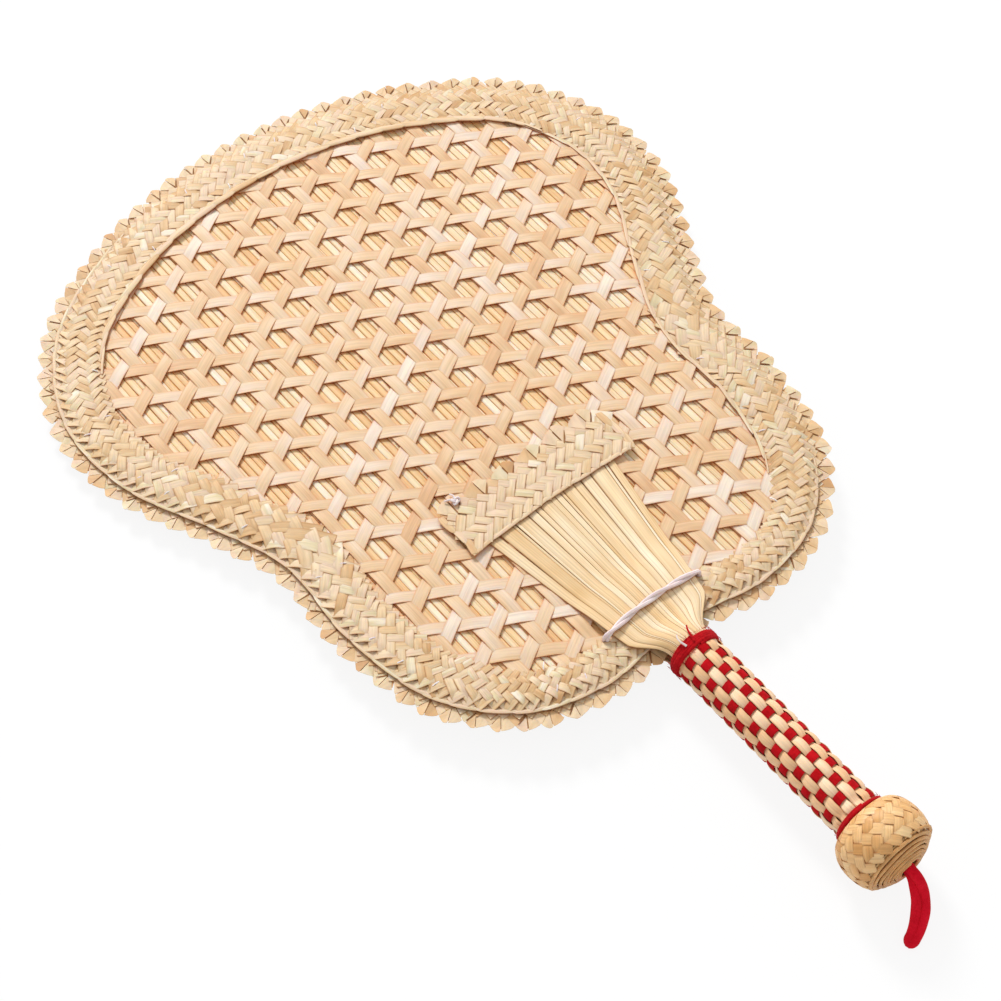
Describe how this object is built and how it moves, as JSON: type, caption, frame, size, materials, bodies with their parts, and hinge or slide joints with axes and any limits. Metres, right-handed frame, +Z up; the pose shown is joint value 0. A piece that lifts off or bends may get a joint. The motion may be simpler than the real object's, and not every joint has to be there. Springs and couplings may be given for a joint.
{
  "type": "woven straw hand fan",
  "caption": "Paddle-shaped hand fan with an open woven straw face, braided rim, ribbon-wound straw handle, round woven pommel and red hanging loop",
  "frame": {"origin": "On the table, under the middle of the fan without its hanging loop", "axes": "+X runs from the handle to the leaf's tip, +Y across the leaf, +Z up out of the leaf's front face. The fan lies on its back on a table, on its pommel and on the tip of its leaf."},
  "size_m": [0.4474, 0.2866, 0.0342],
  "materials": {
    "pale_straw": "satin split straw with fine long fibres",
    "inner_straw": "matte fine straws in shade",
    "glossy_straw": "glossy whole straw",
    "pommel_straw": "satin woven straw",
    "bamboo": "matte",
    "red_ribbon": "matte woven ribbon",
    "red_velvet": "matte velvet cord",
    "white_thread": "matte twisted thread"
  },
  "bodies": {
    "fan": {"front_rim_braid": "pale_straw", "back_rim_braid": "pale_straw", "front_lattice": "pale_straw", "back_lattice": "pale_straw", "front_crest_braid": "pale_straw", "back_crest_braid": "pale_straw", "rim_hoop": "inner_straw", "core_straws": "inner_straw", "front_splay_straw_01": "glossy_straw", "front_splay_straw_02": "glossy_straw", "front_splay_straw_03": "glossy_straw", "front_splay_straw_04": "glossy_straw", "front_splay_straw_05": "glossy_straw", "front_splay_straw_06": "glossy_straw", "front_splay_straw_07": "glossy_straw", "front_splay_straw_08": "glossy_straw", "front_splay_straw_09": "glossy_straw", "front_splay_straw_10": "glossy_straw", "front_splay_straw_11": "glossy_straw", "front_splay_straw_12": "glossy_straw", "front_splay_straw_13": "glossy_straw", "back_splay_straw_01": "glossy_straw", "back_splay_straw_02": "glossy_straw", "back_splay_straw_03": "glossy_straw", "back_splay_straw_04": "glossy_straw", "back_splay_straw_05": "glossy_straw", "back_splay_straw_06": "glossy_straw", "back_splay_straw_07": "glossy_straw", "back_splay_straw_08": "glossy_straw", "back_splay_straw_09": "glossy_straw", "back_splay_straw_10": "glossy_straw", "back_splay_straw_11": "glossy_straw", "back_splay_straw_12": "glossy_straw", "back_splay_straw_13": "glossy_straw", "handle_splint_01": "glossy_straw", "handle_splint_02": "glossy_straw", "handle_splint_03": "glossy_straw", "handle_splint_04": "glossy_straw", "handle_splint_05": "glossy_straw", "handle_splint_06": "glossy_straw", "handle_splint_07": "glossy_straw", "handle_splint_08": "glossy_straw", "handle_splint_09": "glossy_straw", "handle_splint_10": "glossy_straw", "handle_splint_11": "glossy_straw", "handle_splint_12": "glossy_straw", "handle_splint_13": "glossy_straw", "handle_splint_14": "glossy_straw", "handle_splint_15": "glossy_straw", "pommel_shell": "pommel_straw", "pommel_end_rope": "pommel_straw", "handle_stick": "bamboo", "pommel_core": "bamboo", "handle_ribbon": "red_ribbon", "upper_collar": "red_ribbon", "lower_ring": "red_ribbon", "binding_thread": "white_thread", "crest_tie_knot": "white_thread"},
    "loop": {"hanging_loop": "red_velvet"}
  },
  "joints": [
    {"name": "loop_swing", "type": "hinge", "parent": "fan", "child": "loop", "pos_m": [-0.2125, 0.01151, 0.0176], "axis": [0, 0, 1], "range_deg": [-30, 45]}
  ]
}
